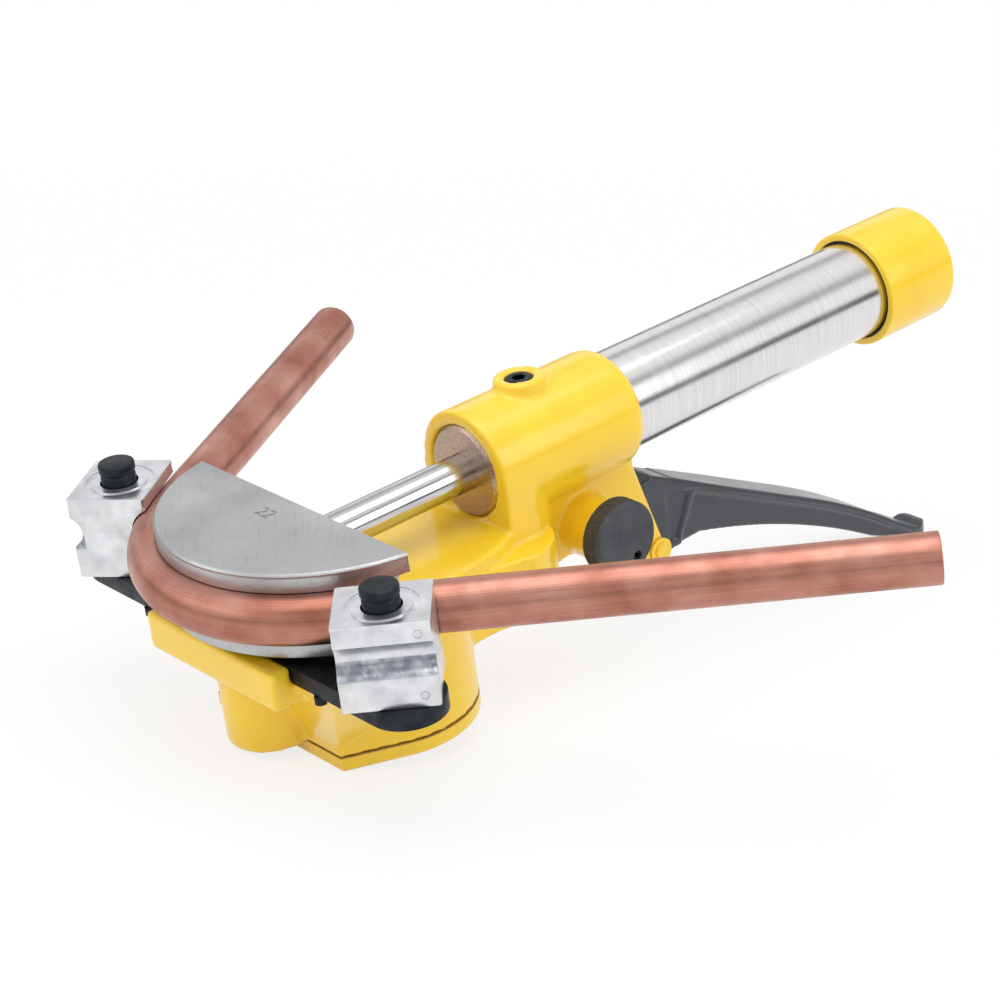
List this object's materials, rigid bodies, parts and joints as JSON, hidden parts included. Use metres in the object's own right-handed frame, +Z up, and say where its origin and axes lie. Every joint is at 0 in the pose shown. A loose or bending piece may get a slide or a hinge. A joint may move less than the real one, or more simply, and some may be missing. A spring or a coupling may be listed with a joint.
{
  "type": "hydraulic tube bender",
  "caption": "Hand-pumped hydraulic tube bender: ram with a half-round former, swivelling guide blocks on a bar, cast base with pump lever and release knob, copper tube loaded.",
  "frame": {"origin": "on the middle line of the base cover's flat underside, 46 mm behind its front edge", "axes": "+Z up with the tool standing on the base's front edge and the tip of the pump lever, +Y back along the tool (the ram axis is tipped up 9 degrees from it), +X towards the release knob"},
  "size_m": [0.4264, 0.4714, 0.174],
  "materials": {
    "yellow_enamel": "smooth gloss enamel over a cast skin",
    "gasket_fibre": "matt fibre sheet",
    "black_oxide": "satin black oxide",
    "turned_steel": "turned",
    "brushed_tube": "ground crosswise, satin",
    "seal_rubber": "satin rubber",
    "bronze": "turned bronze",
    "spring_steel": "bright",
    "hard_chrome": "polished",
    "cast_aluminium": "fine sand-cast, lightly ground",
    "copper": "drawn, satin",
    "lever_enamel": "satin black enamel",
    "knob_black": "matt black with a milled rim"
  },
  "bodies": {
    "frame": {"body_casting": "yellow_enamel", "base_cover": "yellow_enamel", "cover_gasket": "gasket_fibre", "cover_screws": "black_oxide", "support_bar": "black_oxide", "bar_screws": "black_oxide", "lock_screws": "black_oxide", "pressure_cylinder": "turned_steel", "reservoir_tube": "brushed_tube", "rear_cap": "yellow_enamel", "cap_seal": "seal_rubber", "gland_bush": "bronze", "rod_seal": "seal_rubber", "spindle_seal": "seal_rubber", "fill_plug": "black_oxide", "lever_pin": "black_oxide", "pivot_clips": "spring_steel", "check_ball": "spring_steel", "check_spring": "spring_steel", "check_plug": "black_oxide", "release_ball": "spring_steel", "return_spring": "spring_steel", "plunger_spring": "spring_steel"},
    "ram": {"ram_rod": "hard_chrome", "piston": "turned_steel", "piston_seal": "seal_rubber", "piston_nut": "turned_steel", "bending_former": "cast_aluminium", "catch_ball": "spring_steel", "catch_spring": "spring_steel", "catch_plug": "black_oxide", "workpiece_tube": "copper"},
    "lever": {"pump_lever": "lever_enamel"},
    "plunger": {"pump_plunger": "turned_steel"},
    "release": {"release_knob": "knob_black", "release_spindle": "turned_steel", "knob_screw": "black_oxide"},
    "block_right": {"guide_block_right": "cast_aluminium"},
    "block_left": {"guide_block_left": "cast_aluminium"},
    "pin_right": {"guide_pin_right": "black_oxide"},
    "pin_left": {"guide_pin_left": "black_oxide"}
  },
  "joints": [
    {"name": "ram_slide", "type": "slide", "parent": "frame", "child": "ram", "axis": [0, 0.9877, 0.1564], "range_m": [0, 0.078]},
    {"name": "lever_pivot", "type": "hinge", "parent": "frame", "child": "lever", "pos_m": [0, 0.16598, 0.03236], "axis": [1, 0, 0], "range_deg": [0, 20], "stiffness_Nm_per_rad": 10, "springref_deg": -34.38},
    {"name": "plunger_slide", "type": "slide", "parent": "frame", "child": "plunger", "axis": [0, -0.9877, -0.1564], "range_m": [0, 0.0099]},
    {"name": "release_turn", "type": "hinge", "parent": "frame", "child": "release", "pos_m": [0, 0.11665, 0.05806], "axis": [1, 0, 0], "range_deg": [0, 90]},
    {"name": "block_right_swivel", "type": "hinge", "parent": "frame", "child": "block_right", "pos_m": [0.0942, -0.05955, 0.07359], "axis": [0, -0.1564, 0.9877], "range_deg": [-48.71, 0]},
    {"name": "block_left_swivel", "type": "hinge", "parent": "frame", "child": "block_left", "pos_m": [-0.0942, -0.05955, 0.07359], "axis": [0, -0.1564, 0.9877], "range_deg": [0, 53.51]},
    {"name": "pin_right_pull", "type": "slide", "parent": "frame", "child": "pin_right", "axis": [0, -0.1564, 0.9877], "range_m": [0, 0.06]},
    {"name": "pin_left_pull", "type": "slide", "parent": "frame", "child": "pin_left", "axis": [0, -0.1564, 0.9877], "range_m": [0, 0.06]}
  ],
  "couplings": [
    {"joint": "plunger_slide", "follows": "lever_pivot", "m_per_rad": 0.028},
    {"joint": "block_right_swivel", "follows": "ram_slide", "rad_per_m": -10.897},
    {"joint": "block_left_swivel", "follows": "ram_slide", "rad_per_m": 11.971}
  ]
}
